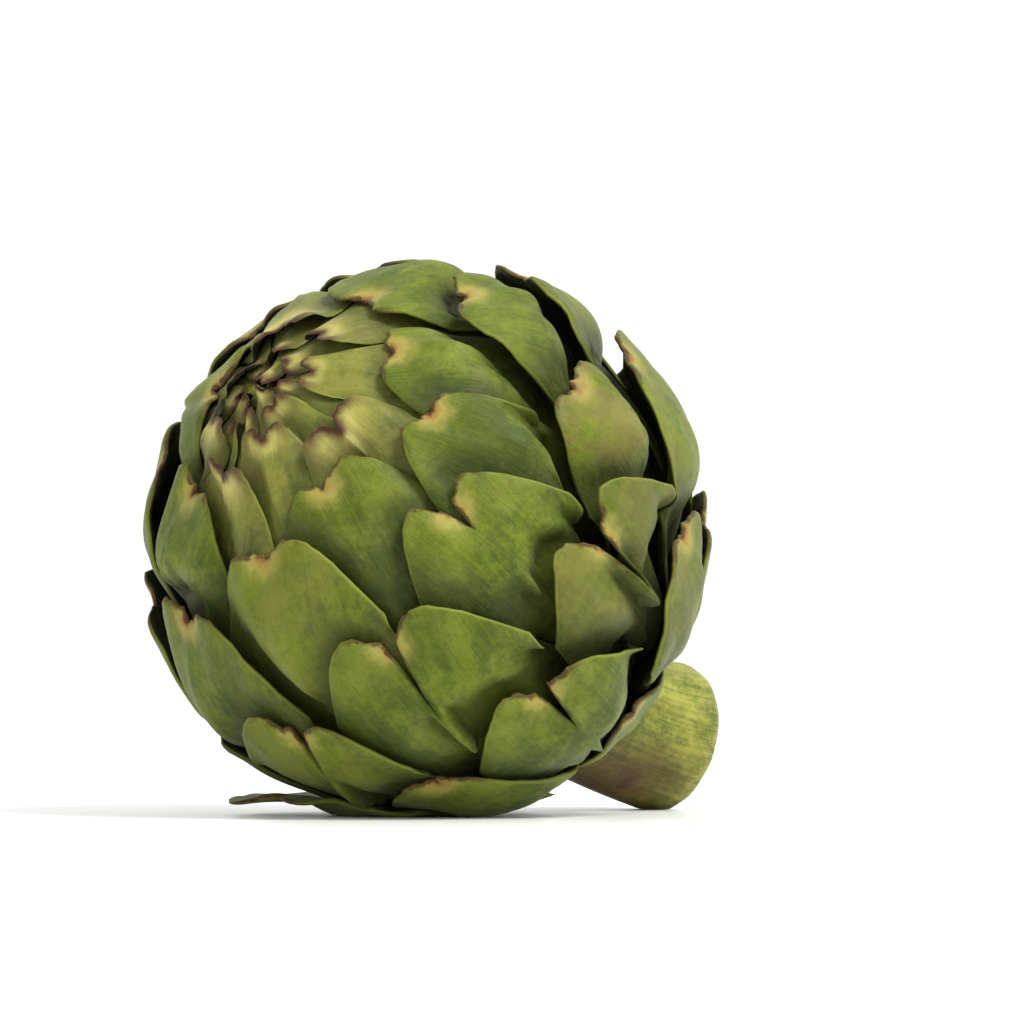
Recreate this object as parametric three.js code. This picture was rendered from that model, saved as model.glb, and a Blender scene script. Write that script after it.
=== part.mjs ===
// An artichoke as picked: a globe of overlapping leaves on a short cut stem, lying on its side.
// Millimetres, +Z up. The crown points toward -X and up, the stem toward +X and down, and the
// origin is on the surface it lies on, under the middle of the whole thing.
//
// Places on the globe are given from its centre by two angles: "polar" is the angle from the
// crown, and "turn" is the angle round the crown's axis, 0 on the upper side.
import * as THREE from 'three';

const DEG = Math.PI / 180;

// The globe, and how it lies
const GLOBE_RADIUS = 56;
const GLOBE_HEIGHT = 53.9; // its centre above the surface: less than the radius, so it lies flat
const CROWN_PITCH = 36 * DEG; // the crown's axis, up from level
const CROWN_FLATTENING = 0.08;
const BASE_FLATTENING = 0.1;

// The leaves sit on one spiral, each a golden angle round from the last
const GOLDEN_ANGLE = 137.508 * DEG;
const FIRST_TURN = 167.8 * DEG;
const SMALL_LEAVES = 22; // the tight whorl at the crown
const LARGE_LEAVES = 36;
const INNER_POLAR = 19 * DEG;
const POLAR_STEP = 2.85 * DEG; // how much further down each large leaf's tip is
const CROWN_CLOSING = 0.09; // each small leaf's tip is this part nearer the crown
const CROWN_LEAN = 7 * DEG; // of the small leaves' own axis, toward +Y,
const LEANING_LEAVES = 10; // reached this many leaves into the crown

// One full-grown leaf
const LEAF_THICKNESS = 0.9;
const SMALL_LEAF_THICKNESS = 0.55;
const LEAF_HALF_WIDTH = 26;
const SHOULDER_HALF_WIDTH = 22;
const SHOULDER_DROP = 22; // how far the tip's shoulders lie behind its notch
const SHOULDER_SQUARENESS = 2.2; // power the drop grows with, out from the notch
const SLIMMEST_SHOULDER = 0.45; // what a leaf of no size keeps of its share of the width
const LOBE_RISE = 4; // the two lobes on either side of the notch
const LOBE_SPREAD = 5;
const WIDENING_START = -3; // from the shoulders
const WIDENING_LENGTH = 20;
const INNER_HALF_WIDTH = 6; // of the innermost leaf of the crown, and what it gains with size
const SMALL_LEAF_WIDENING = 16;
const SMALLEST_SIZE = 0.25; // of the innermost leaf's tip, as a share of a large leaf's
const BASE_HALF_WIDTH = 13;
const BASE_TAPER_LENGTH = 45;
const INNERMOST_LEAF_END = 127 * DEG; // where the leaves join the heart
const OUTERMOST_LEAF_END = 161 * DEG;
const LEAF_END_POWER = 0.6;

// How the leaves lie on each other
const LEAF_GAP = 0.6;
const SNUG = 0.4; // room under an ordinary leaf's tip
const SMALL_LEAF_ROOM = 0.1;
const FADE_LENGTH = 22; // along the leaf until the room under it is gone,
const FADE_PER_ROOM = 5; // and how much longer for each millimetre of room
const EDGE_MARGIN = 2;
const CELL_LENGTH = 12;
const LARGE_LEAF_COLUMNS = 8;
const SMALL_LEAF_COLUMNS = 4;
const FEWEST_ROWS = 6;
const FINE_STEPS = 4; // steps of the smoothing grid to one facet
const SMOOTHING_PASSES = 12;
const LYING_HEIGHT = 3; // of the loose leaf that runs along just above the ground
const LYING_REACH = 68;

// The heart and the stem
const HEART_TOP = 128; // degrees from the crown
const HEART_FOOT = 156;
const HEART_STEP = 7;
const STEM_RADIUS = 15.2;
const STEM_WAIST = 0.06; // part of the radius it is slimmer halfway
const STEM_START = 50; // distance from the globe's centre where it leaves the leaves
const STEM_BEND = 60;
const STEM_END = new THREE.Vector3(68, -3.4, -39.4); // centre of the cut, from the globe's centre
const STEM_STEPS = 6;
const STEM_SIDES = 24;

// Leaves that grew a little off the spiral, stand away from their neighbours, or have lobes of
// their own. Down and turned are degrees from the spiral, and room is millimetres under the
// tip. Left and right are [rise, width]: how far the lobe stands above the notch, and how wide
// that half of the leaf is, as a share of the usual. Spread is how far the lobes are apart.
const OWN_SHAPE = {
  '-21': { down: -8 },
  '-20': { down: -7 },
  '-19': { down: -6.5 },
  '-18': { down: -5 },
  '-17': { down: -3.5 },
  '-16': { down: -2 },
  '-2': { down: 3, turned: -9 },
  0: { down: 2, turned: -8 },
  1: { down: 3, turned: -4, room: 0.8, left: [4, 1.1], right: [3, 0.8] },
  3: { down: 1, left: [3, 0.95], right: [4.5, 1] },
  4: { down: -2, turned: -8 },
  5: { down: -3, turned: 5, room: 2.5 },
  6: { turned: -2, left: [5, 1], right: [2, 0.5], spread: 4 },
  8: { down: -3, turned: 1, left: [3, 0.9], right: [5, 1.1], spread: 6 },
  9: { turned: 1, room: 4.5, left: [6, 1.3], right: [2, 0.8] },
  10: { room: 4.5 },
  11: { down: 1, turned: 7, left: [8, 0.95], right: [5, 0.86], spread: 4 },
  13: { down: -1, turned: 1, room: 3.5, left: [4, 1], right: [4, 1.3], spread: 4.5 },
  14: { down: 5, turned: 1, room: 5.5, left: [6, 1.05], right: [1, 0.9] },
  16: { turned: 7, room: 0.8, left: [8, 1], right: [6.5, 1.1], spread: 6 },
  17: { down: 1, turned: -2, room: 5.5, left: [6, 1.4], right: [3, 1] },
  18: { room: 4 },
  19: { down: 8, turned: 4, room: 4.5, left: [11, 1], right: [9.5, 1], spread: 5.5 },
  21: { down: -1, turned: 8, room: 0.8, left: [8, 1.05], right: [5.5, 0.8], spread: 6 },
  22: { down: -1, turned: 2, room: 5.5, left: [1.5, 1.1], right: [2, 1], spread: 4 },
  24: { down: 7, turned: 6, room: 3, left: [8, 1], right: [3.5, 0.95] },
  27: { down: 6, turned: 1, room: 5, left: [3, 1.1], right: [1, 0.75], spread: 4 },
  29: { down: -1, turned: 8, left: [3, 1], right: [1, 0.6], spread: 4 },
  32: { down: 14, turned: -2, left: [1, 0.8], right: [1, 0.8] },
  34: { down: -17, lying: true },
};

// The globe's radius in a direction, flattened at the crown and the base,
// and where it is pressed flat by its own weight.
const crownTilt = new THREE.Matrix4().makeRotationY(CROWN_PITCH - Math.PI / 2);

function envelope(direction) {
  const toCrown = Math.max(direction.z, 0) ** 3;
  const toBase = Math.max(-direction.z, 0) ** 4;
  const radius = GLOBE_RADIUS * (1 - CROWN_FLATTENING * toCrown - BASE_FLATTENING * toBase);
  const drop = -direction.clone().applyMatrix4(crownTilt).z;
  return drop > 0 ? Math.min(radius, GLOBE_HEIGHT / drop) : radius;
}

// The same for one leaf's outer face: a lying leaf leaves the globe and runs along the ground.
function leafOutside(leaf, direction) {
  const drop = -direction.clone().applyMatrix4(crownTilt).z;
  if (!leaf.lying || drop <= 0) return envelope(direction);
  const ground = Math.min((GLOBE_HEIGHT - LYING_HEIGHT) / drop, LYING_REACH);
  return Math.max(envelope(direction), ground);
}

// Leaf number 1 is the first large one; the small ones of the crown are 0, -1, -2 and so on.
function leafPlan(number) {
  const small = number < 1;
  const first = INNER_POLAR + POLAR_STEP;
  const spiralPolar = small
    ? first * Math.exp(CROWN_CLOSING * (number - 1))
    : first + POLAR_STEP * (number - 1);
  const {
    down = 0,
    turned = 0,
    room = small ? SMALL_LEAF_ROOM : SNUG,
    left = [LOBE_RISE, 1],
    right = [LOBE_RISE, 1],
    spread = LOBE_SPREAD,
    lying = false,
  } = OWN_SHAPE[number] ?? {};
  const size = small ? Math.max(spiralPolar / first, SMALLEST_SIZE) : 1;
  const order = (number + SMALL_LEAVES - 1) / (SMALL_LEAVES + LARGE_LEAVES - 1);
  const tipPolar = spiralPolar + down * DEG;
  const endPolar = THREE.MathUtils.lerp(
    INNERMOST_LEAF_END,
    OUTERMOST_LEAF_END,
    order ** LEAF_END_POWER,
  );
  const length = (endPolar - tipPolar) * GLOBE_RADIUS;
  const slimming = THREE.MathUtils.lerp(SLIMMEST_SHOULDER, 1, size);
  return {
    tipPolar,
    lean: CROWN_LEAN * THREE.MathUtils.smoothstep(-number, 0, LEANING_LEAVES),
    turn: FIRST_TURN + GOLDEN_ANGLE * number + turned * DEG,
    length,
    room,
    lying,
    thickness: small ? SMALL_LEAF_THICKNESS : LEAF_THICKNESS,
    fullHalfWidth: small ? INNER_HALF_WIDTH + SMALL_LEAF_WIDENING * size : LEAF_HALF_WIDTH,
    shoulderHalfWidth: SHOULDER_HALF_WIDTH * size * slimming,
    shoulderDrop: SHOULDER_DROP * size,
    rises: [left[0] * size, right[0] * size],
    widths: [left[1], right[1]],
    lobeSpread: spread * size,
    rows: Math.max(FEWEST_ROWS, Math.round(length / CELL_LENGTH)),
    columns: small ? SMALL_LEAF_COLUMNS : LARGE_LEAF_COLUMNS,
  };
}

// The left or the right one of a pair, by the sign of the place across the leaf.
function bySide(pair, across) {
  return across < 0 ? pair[0] : pair[1];
}

// The far edge of a leaf, as a distance down from its notch: two lobes, then falling shoulders.
function tipEdge(leaf, across) {
  const shoulder = leaf.shoulderDrop * Math.abs(across) ** SHOULDER_SQUARENESS;
  const out = across * leaf.shoulderHalfWidth * bySide(leaf.widths, across);
  const lobe = 1 - Math.exp(-((out / leaf.lobeSpread) ** 2));
  return shoulder - bySide(leaf.rises, across) * lobe;
}

// Half of the leaf's width on one side, at a distance down from its notch.
function halfWidth(leaf, down, across) {
  const past = down - leaf.shoulderDrop;
  const widened = THREE.MathUtils.smoothstep(past, WIDENING_START, WIDENING_LENGTH);
  const tapered = THREE.MathUtils.smoothstep(down, leaf.length - BASE_TAPER_LENGTH, leaf.length);
  const usual = THREE.MathUtils.lerp(leaf.shoulderHalfWidth, leaf.fullHalfWidth, widened);
  const full = usual * bySide(leaf.widths, across);
  return THREE.MathUtils.lerp(full, Math.min(full, BASE_HALF_WIDTH), tapered);
}

// How far down the leaf's own side edge is, at a share of the way from tip to base.
function sideDown(leaf, along, across) {
  return tipEdge(leaf, across < 0 ? -1 : 1) * (1 - along) + leaf.length * along;
}

// A point of the leaf's outline grid, along 0..1 from tip to base and across -1..1, as
// millimetres down from the notch and sideways from the midline.
function leafPoint(leaf, along, across) {
  const down = tipEdge(leaf, across) * (1 - along) + leaf.length * along;
  return [down, across * halfWidth(leaf, sideDown(leaf, along, across), across)];
}

// Turns a direction about X, so that the crown's axis leans toward +Y.
function leaned(direction, angle) {
  return direction.applyAxisAngle(new THREE.Vector3(1, 0, 0), -angle);
}

// The direction from the globe's centre: down the leaf's own meridian, then square off it.
function leafDirection(leaf, down, sideways) {
  const polar = leaf.tipPolar + down / GLOBE_RADIUS;
  const slant = sideways / GLOBE_RADIUS;
  const outward = new THREE.Vector3(Math.cos(leaf.turn), Math.sin(leaf.turn), 0);
  const square = new THREE.Vector3(-Math.sin(leaf.turn), Math.cos(leaf.turn), 0);
  outward
    .multiplyScalar(Math.sin(polar) * Math.cos(slant))
    .add(new THREE.Vector3(0, 0, Math.cos(polar) * Math.cos(slant)))
    .addScaledVector(square, Math.sin(slant));
  return leaned(outward, leaf.lean);
}

// The other way round: where a direction falls on the leaf's grid, as [along, across].
function placeOnLeaf(leaf, leanedDirection) {
  const direction = leaned(leanedDirection.clone(), -leaf.lean);
  const cosTurn = Math.cos(leaf.turn);
  const sinTurn = Math.sin(leaf.turn);
  const square = direction.y * cosTurn - direction.x * sinTurn;
  const outward = direction.x * cosTurn + direction.y * sinTurn;
  const sideways = Math.asin(THREE.MathUtils.clamp(square, -1, 1)) * GLOBE_RADIUS;
  const down = (Math.atan2(outward, direction.z) - leaf.tipPolar) * GLOBE_RADIUS;
  let along = down / leaf.length;
  let across = 0;
  for (let pass = 0; pass < 5; pass += 1) {
    const inside = THREE.MathUtils.clamp(along, 0, 1);
    across = sideways / halfWidth(leaf, sideDown(leaf, inside, sideways), sideways);
    const tip = tipEdge(leaf, THREE.MathUtils.clamp(across, -1, 1));
    along = (down - tip) / (leaf.length - tip);
  }
  return [along, across];
}

// The ceiling: on a grid of directions, how far out the next leaf inward may reach.
const POLAR_CELLS = 165;
const TURN_CELLS = 180;

function gridDirection(polarCell, turnCell) {
  const polar = polarCell * DEG;
  const turn = (turnCell * 2 * Math.PI) / TURN_CELLS;
  const level = Math.sin(polar);
  return new THREE.Vector3(level * Math.cos(turn), level * Math.sin(turn), Math.cos(polar));
}

function openCeiling() {
  const rows = [];
  for (let polarCell = 0; polarCell <= POLAR_CELLS; polarCell += 1) {
    rows.push(new Float64Array(TURN_CELLS).fill(GLOBE_RADIUS * 2));
  }
  return rows;
}

// The lowest of the four grid values round a direction.
function ceilingAt(ceiling, direction) {
  const polarCell = Math.acos(THREE.MathUtils.clamp(direction.z, -1, 1)) / DEG;
  const turn = Math.atan2(direction.y, direction.x) + 2 * Math.PI;
  const turnCell = (turn * TURN_CELLS) / (2 * Math.PI);
  const row = Math.min(Math.floor(polarCell), POLAR_CELLS - 1);
  const column = Math.floor(turnCell) % TURN_CELLS;
  const next = (column + 1) % TURN_CELLS;
  const upper = Math.min(ceiling[row][column], ceiling[row][next]);
  return Math.min(upper, ceiling[row + 1][column], ceiling[row + 1][next]);
}

// The radius of the leaf's flat facets between four grid corners: a straight facet lies inside
// the arc through its corners by a quarter of the cell's length squared over twice the radius.
function facetRadius(leaf, tops, along, across) {
  const rowPlace = THREE.MathUtils.clamp(along, 0, 1) * leaf.rows;
  const columnPlace = (THREE.MathUtils.clamp(across, -1, 1) + 1) * 0.5 * leaf.columns;
  const row = Math.min(Math.floor(rowPlace), leaf.rows - 1);
  const column = Math.min(Math.floor(columnPlace), leaf.columns - 1);
  const a = rowPlace - row;
  const b = columnPlace - column;
  const near = THREE.MathUtils.lerp(tops[row][column], tops[row][column + 1], b);
  const far = THREE.MathUtils.lerp(tops[row + 1][column], tops[row + 1][column + 1], b);
  const cellLength = leaf.length / leaf.rows;
  const cellWidth = (2 * leaf.fullHalfWidth) / leaf.columns;
  const sag = (a * (1 - a) * cellLength ** 2 + b * (1 - b) * cellWidth ** 2) / 2;
  return { radius: THREE.MathUtils.lerp(near, far, a) - sag / GLOBE_RADIUS, row, column, a, b };
}

// Lays one leaf as far out as the globe's shape and the leaves over it allow. On a fine grid it
// starts as deep as the leaves over it ask, and the hollows they make are spread smoothly,
// never rising. The facets' corners are taken from it, and let down where a facet would still
// cut a leaf above.
function layLeaf(leaf, ceiling) {
  const rows = leaf.rows * FINE_STEPS;
  const columns = leaf.columns * FINE_STEPS;
  const outer = [];
  const limit = [];
  let depth = [];
  for (let i = 0; i <= rows; i += 1) {
    [outer, limit, depth].forEach((grid) => grid.push([]));
    for (let j = 0; j <= columns; j += 1) {
      const place = leafPoint(leaf, i / rows, (2 * j) / columns - 1);
      const direction = leafDirection(leaf, ...place);
      outer[i].push(leafOutside(leaf, direction));
      limit[i].push(ceilingAt(ceiling, direction) - LEAF_GAP);
      depth[i].push(Math.max(outer[i][j] - limit[i][j], 0));
    }
  }
  for (let pass = 0; pass < SMOOTHING_PASSES; pass += 1) {
    const last = depth;
    depth = last.map((line, i) => {
      const before = last[Math.max(i - 1, 0)];
      const after = last[Math.min(i + 1, rows)];
      return line.map((deep, j) => {
        const beside = line[Math.max(j - 1, 0)] + line[Math.min(j + 1, columns)];
        return Math.max(deep, (beside + before[j] + after[j]) / 4);
      });
    });
  }
  const tops = [];
  for (let row = 0; row <= leaf.rows; row += 1) {
    tops.push([]);
    for (let column = 0; column <= leaf.columns; column += 1) {
      const i = row * FINE_STEPS;
      const j = column * FINE_STEPS;
      tops[row].push(outer[i][j] - depth[i][j]);
    }
  }
  const excess = tops.map((line) => line.map(() => 0));
  for (let i = 0; i <= rows; i += 1) {
    for (let j = 0; j <= columns; j += 1) {
      const { radius, row, column } = facetRadius(leaf, tops, i / rows, (2 * j) / columns - 1);
      for (let k = 0; k < 4; k += 1) {
        const line = excess[row + (k >> 1)];
        line[column + (k & 1)] = Math.max(line[column + (k & 1)], radius - limit[i][j]);
      }
    }
  }
  return tops.map((line, row) => line.map((top, column) => top - excess[row][column]));
}

// Lowers the ceiling to the underside of a leaf, and further where the leaf stands away.
function lowerCeiling(ceiling, leaf, tops) {
  for (let polarCell = 0; polarCell <= POLAR_CELLS; polarCell += 1) {
    for (let turnCell = 0; turnCell < TURN_CELLS; turnCell += 1) {
      const [along, across] = placeOnLeaf(leaf, gridDirection(polarCell, turnCell));
      const endMargin = EDGE_MARGIN / leaf.length;
      const sideMargin = EDGE_MARGIN / BASE_HALF_WIDTH;
      const onLeaf = along > -endMargin && along < 1 + endMargin;
      if (onLeaf && Math.abs(across) < 1 + sideMargin) {
        const { radius } = facetRadius(leaf, tops, along, across);
        const fade = FADE_LENGTH + FADE_PER_ROOM * leaf.room;
        const faded = THREE.MathUtils.smoothstep(along * leaf.length, 0.2 * fade, fade);
        const underside = radius - leaf.thickness - leaf.room * (1 - faded);
        ceiling[polarCell][turnCell] = Math.min(ceiling[polarCell][turnCell], underside);
      }
    }
  }
}

// A closed solid from a grid of outer corners and the same grid of inner corners.
function slabGeometry(outer, inner) {
  const rows = outer.length - 1;
  const columns = outer[0].length - 1;
  const positions = [];
  const index = [];
  [outer, inner].forEach((grid) => grid.flat().forEach((p) => positions.push(p.x, p.y, p.z)));
  const layer = (rows + 1) * (columns + 1);
  const corner = (row, column, side) => side * layer + row * (columns + 1) + column;
  const quad = (a, b, c, d) => index.push(a, b, c, a, c, d);
  for (let r = 0; r < rows; r += 1) {
    for (let c = 0; c < columns; c += 1) {
      quad(corner(r, c, 0), corner(r + 1, c, 0), corner(r + 1, c + 1, 0), corner(r, c + 1, 0));
      quad(corner(r, c, 1), corner(r, c + 1, 1), corner(r + 1, c + 1, 1), corner(r + 1, c, 1));
    }
  }
  for (let r = 0; r < rows; r += 1) {
    quad(corner(r, 0, 0), corner(r, 0, 1), corner(r + 1, 0, 1), corner(r + 1, 0, 0));
    const c = columns;
    quad(corner(r, c, 0), corner(r + 1, c, 0), corner(r + 1, c, 1), corner(r, c, 1));
  }
  for (let c = 0; c < columns; c += 1) {
    quad(corner(0, c, 0), corner(0, c + 1, 0), corner(0, c + 1, 1), corner(0, c, 1));
    const r = rows;
    quad(corner(r, c, 0), corner(r, c, 1), corner(r, c + 1, 1), corner(r, c + 1, 0));
  }
  const geometry = new THREE.BufferGeometry();
  geometry.setAttribute('position', new THREE.Float32BufferAttribute(positions, 3));
  geometry.setIndex(index);
  geometry.computeVertexNormals();
  return geometry;
}

function leafGeometry(leaf, tops) {
  const grids = [0, leaf.thickness].map((depth) =>
    tops.map((line, row) =>
      line.map((top, column) => {
        const place = leafPoint(leaf, row / leaf.rows, (2 * column) / leaf.columns - 1);
        return leafDirection(leaf, ...place).multiplyScalar(top - depth);
      }),
    ),
  );
  return slabGeometry(grids[0], grids[1]);
}

// The heart that the leaves grow on, and the stem below it, as one solid. Down to where the
// stem starts, each ring is as wide as the leaves round it leave room for.
function stemGeometry(ceiling, groupInverse) {
  const rings = [];
  for (let polar = HEART_TOP; polar <= HEART_FOOT; polar += HEART_STEP) {
    const near = ceiling.slice(polar - 3, polar + 4).flatMap((line) => [...line]);
    const radius = Math.min(...near) - LEAF_GAP;
    rings.push({
      centre: new THREE.Vector3(0, 0, radius * Math.cos(polar * DEG)),
      along: new THREE.Vector3(0, 0, -1),
      radius: radius * Math.sin(polar * DEG),
    });
  }
  const start = new THREE.Vector3(0, 0, -STEM_START);
  const end = STEM_END.clone().applyMatrix4(groupInverse);
  const bend = new THREE.Vector3(0, 0, -STEM_BEND);
  const route = new THREE.QuadraticBezierCurve3(start, bend, end);
  for (let step = 0; step < STEM_STEPS; step += 1) {
    const t = step / (STEM_STEPS - 1);
    const slimness = 1 - STEM_WAIST * Math.sin(Math.PI * t);
    rings.push({
      centre: route.getPoint(t),
      along: route.getTangent(t),
      radius: STEM_RADIUS * slimness,
    });
  }
  const positions = [];
  const index = [];
  const sideAxis = new THREE.Vector3(0, 1, 0);
  const floorAxis = new THREE.Vector3(0, 0, 1).transformDirection(groupInverse);
  rings.forEach(({ centre, along, radius }) => {
    const up = sideAxis.clone().cross(along).normalize();
    const side = along.clone().cross(up);
    for (let k = 0; k < STEM_SIDES; k += 1) {
      const angle = (2 * Math.PI * k) / STEM_SIDES;
      const point = centre.clone();
      point.addScaledVector(side, radius * Math.cos(angle));
      point.addScaledVector(up, radius * Math.sin(angle));
      const sunk = -GLOBE_HEIGHT - point.dot(floorAxis);
      point.addScaledVector(floorAxis, Math.max(sunk, 0));
      positions.push(point.x, point.y, point.z);
    }
  });
  const last = rings.length - 1;
  [rings[0].centre, rings[last].centre].forEach((p) => positions.push(p.x, p.y, p.z));
  const topCentre = rings.length * STEM_SIDES;
  for (let k = 0; k < STEM_SIDES; k += 1) {
    const next = (k + 1) % STEM_SIDES;
    for (let ring = 0; ring < last; ring += 1) {
      const a = ring * STEM_SIDES;
      const b = a + STEM_SIDES;
      index.push(a + k, b + next, a + next, a + k, b + k, b + next);
    }
    index.push(topCentre, k, next);
    index.push(topCentre + 1, last * STEM_SIDES + next, last * STEM_SIDES + k);
  }
  const geometry = new THREE.BufferGeometry();
  geometry.setAttribute('position', new THREE.Float32BufferAttribute(positions, 3));
  geometry.setIndex(index);
  geometry.computeVertexNormals();
  return geometry;
}

function plantMaterial(color, roughness) {
  return new THREE.MeshStandardMaterial({ color, roughness, metalness: 0 });
}

const materials = {
  outerLeaf: plantMaterial(0x7f9a45, 0.5),
  crownLeaf: plantMaterial(0xa3a24a, 0.55),
  stem: plantMaterial(0xa9b04a, 0.55),
};

const artichoke = new THREE.Group();
const head = new THREE.Group();
head.position.set(0, 0, GLOBE_HEIGHT);
head.rotation.y = CROWN_PITCH - Math.PI / 2;
artichoke.add(head);

// From the outermost leaf inward, so that each one is laid under those that cover it.
const ceiling = openCeiling();
for (let number = LARGE_LEAVES; number > -SMALL_LEAVES; number -= 1) {
  const leaf = leafPlan(number);
  const tops = layLeaf(leaf, ceiling);
  lowerCeiling(ceiling, leaf, tops);
  const material = number < 1 ? materials.crownLeaf : materials.outerLeaf;
  const mesh = new THREE.Mesh(leafGeometry(leaf, tops), material);
  mesh.name = `leaf_${String(number + SMALL_LEAVES).padStart(2, '0')}`;
  head.add(mesh);
}

const stem = new THREE.Mesh(stemGeometry(ceiling, crownTilt.clone().invert()), materials.stem);
stem.name = 'stem_and_heart';
head.add(stem);

// The origin goes under the middle of the whole thing.
const box = new THREE.Box3().setFromObject(artichoke, true);
artichoke.position.set(-(box.min.x + box.max.x) / 2, -(box.min.y + box.max.y) / 2, -box.min.z);

export default artichoke;
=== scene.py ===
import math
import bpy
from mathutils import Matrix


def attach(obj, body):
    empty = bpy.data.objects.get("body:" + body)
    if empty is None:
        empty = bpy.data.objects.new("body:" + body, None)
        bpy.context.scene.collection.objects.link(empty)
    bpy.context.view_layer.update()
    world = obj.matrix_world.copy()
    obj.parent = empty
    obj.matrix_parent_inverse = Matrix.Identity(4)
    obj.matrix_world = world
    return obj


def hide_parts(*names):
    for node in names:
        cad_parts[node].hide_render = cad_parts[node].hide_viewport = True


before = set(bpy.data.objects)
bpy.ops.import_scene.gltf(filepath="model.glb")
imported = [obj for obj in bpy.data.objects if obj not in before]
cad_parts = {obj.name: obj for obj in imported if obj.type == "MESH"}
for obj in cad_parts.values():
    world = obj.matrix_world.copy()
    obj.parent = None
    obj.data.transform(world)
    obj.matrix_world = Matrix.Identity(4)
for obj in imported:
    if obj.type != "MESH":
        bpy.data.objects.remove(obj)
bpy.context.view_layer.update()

# An artichoke lying on its side: leaves on one spiral round a heart, on a short cut stem.
# Each leaf solid of the frame, and the stem, is stood for by a finer surface in the same place.
# Shapes are worked out in millimetres from the globe's centre, with +Z along the crown's axis,
# then turned and moved into the row frame in metres. "Polar" is the angle from the crown, and
# "turn" is the angle round its axis, 0 on the upper side.
from types import SimpleNamespace

import bpy
import numpy as np
from mathutils import Vector

DEG = math.pi / 180
METRES = 0.001

# ---- The globe, as the frame has it ----
GLOBE_RADIUS = 56.0
GLOBE_CENTRE = np.array([-9.13, -0.34, 53.9])
CROWN_PITCH = 36 * DEG
CROWN_FLATTENING = 0.08
BASE_FLATTENING = 0.1

# ---- The spiral of leaves ----
GOLDEN_ANGLE = 137.508 * DEG
FIRST_TURN = 167.8 * DEG
SMALL_LEAVES = 22
LARGE_LEAVES = 36
INNER_POLAR = 19 * DEG
POLAR_STEP = 2.85 * DEG
CROWN_CLOSING = 0.09  # each small leaf's tip is this part nearer the crown
CROWN_LEAN = 7 * DEG  # of the small leaves' own axis, toward +Y,
LEANING_LEAVES = 10  # reached this many leaves into the crown
INNERMOST_LEAF_END = 127 * DEG
OUTERMOST_LEAF_END = 161 * DEG
LEAF_END_POWER = 0.6

# ---- One leaf ----
LEAF_THICKNESS = 1.15
SMALL_LEAF_THICKNESS = 0.45
BASE_THICKENING = 0.33
LEAF_HALF_WIDTH = 26.0
SHOULDER_HALF_WIDTH = 22.0
SHOULDER_DROP = 22.0  # how far the tip's shoulders lie behind its notch
SHOULDER_SQUARENESS = 2.2  # power the drop grows with, out from the notch
SLIMMEST_SHOULDER = 0.45  # share of its width that the tip of a leaf of no size would keep
SMALLEST_SIZE = 0.25  # of the innermost leaf's tip, as a share of a large leaf's
WIDENING_START = -3.0  # from the shoulders
WIDENING_LENGTH = 20.0
INNER_HALF_WIDTH = 6.0  # of the innermost leaf, and what it gains with size
SMALL_LEAF_WIDENING = 16
BASE_HALF_WIDTH = 13.0
BASE_TAPER_LENGTH = 45.0
SLIT_HALF_WIDTH = 1.5
SLIT_SHARPNESS = 1.4
FRAY_REACH = 7  # from the notch, across the leaf
EDGE_ROUNDING = 1.0

# ---- How the leaves lie on each other ----
LEAF_GAP = 0.25
SMALL_LEAF_GAP = 0.12
SNUG = 0.35  # room under an ordinary leaf's tip
FADE_LENGTH = 22  # along the leaf until the room under it is gone,
FADE_PER_ROOM = 5  # and how much longer for each millimetre of room
FADE_START = 0.2  # share of that length with all its room
EDGE_MARGIN = 0.6
LYING_REACH = 68.0
LYING_HEIGHT = 3.0  # of the loose leaf that runs along just above the ground
LAYING_STEP = 1.1
LAYING_LINES = 41
FEWEST_LAYING_STEPS = 30
SMOOTHING_PASSES = 30
SETTLING_PASSES = 4
SHADE_PASSES = 6
CLEAR_OF_GROUND = 0.0001  # metres

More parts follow.
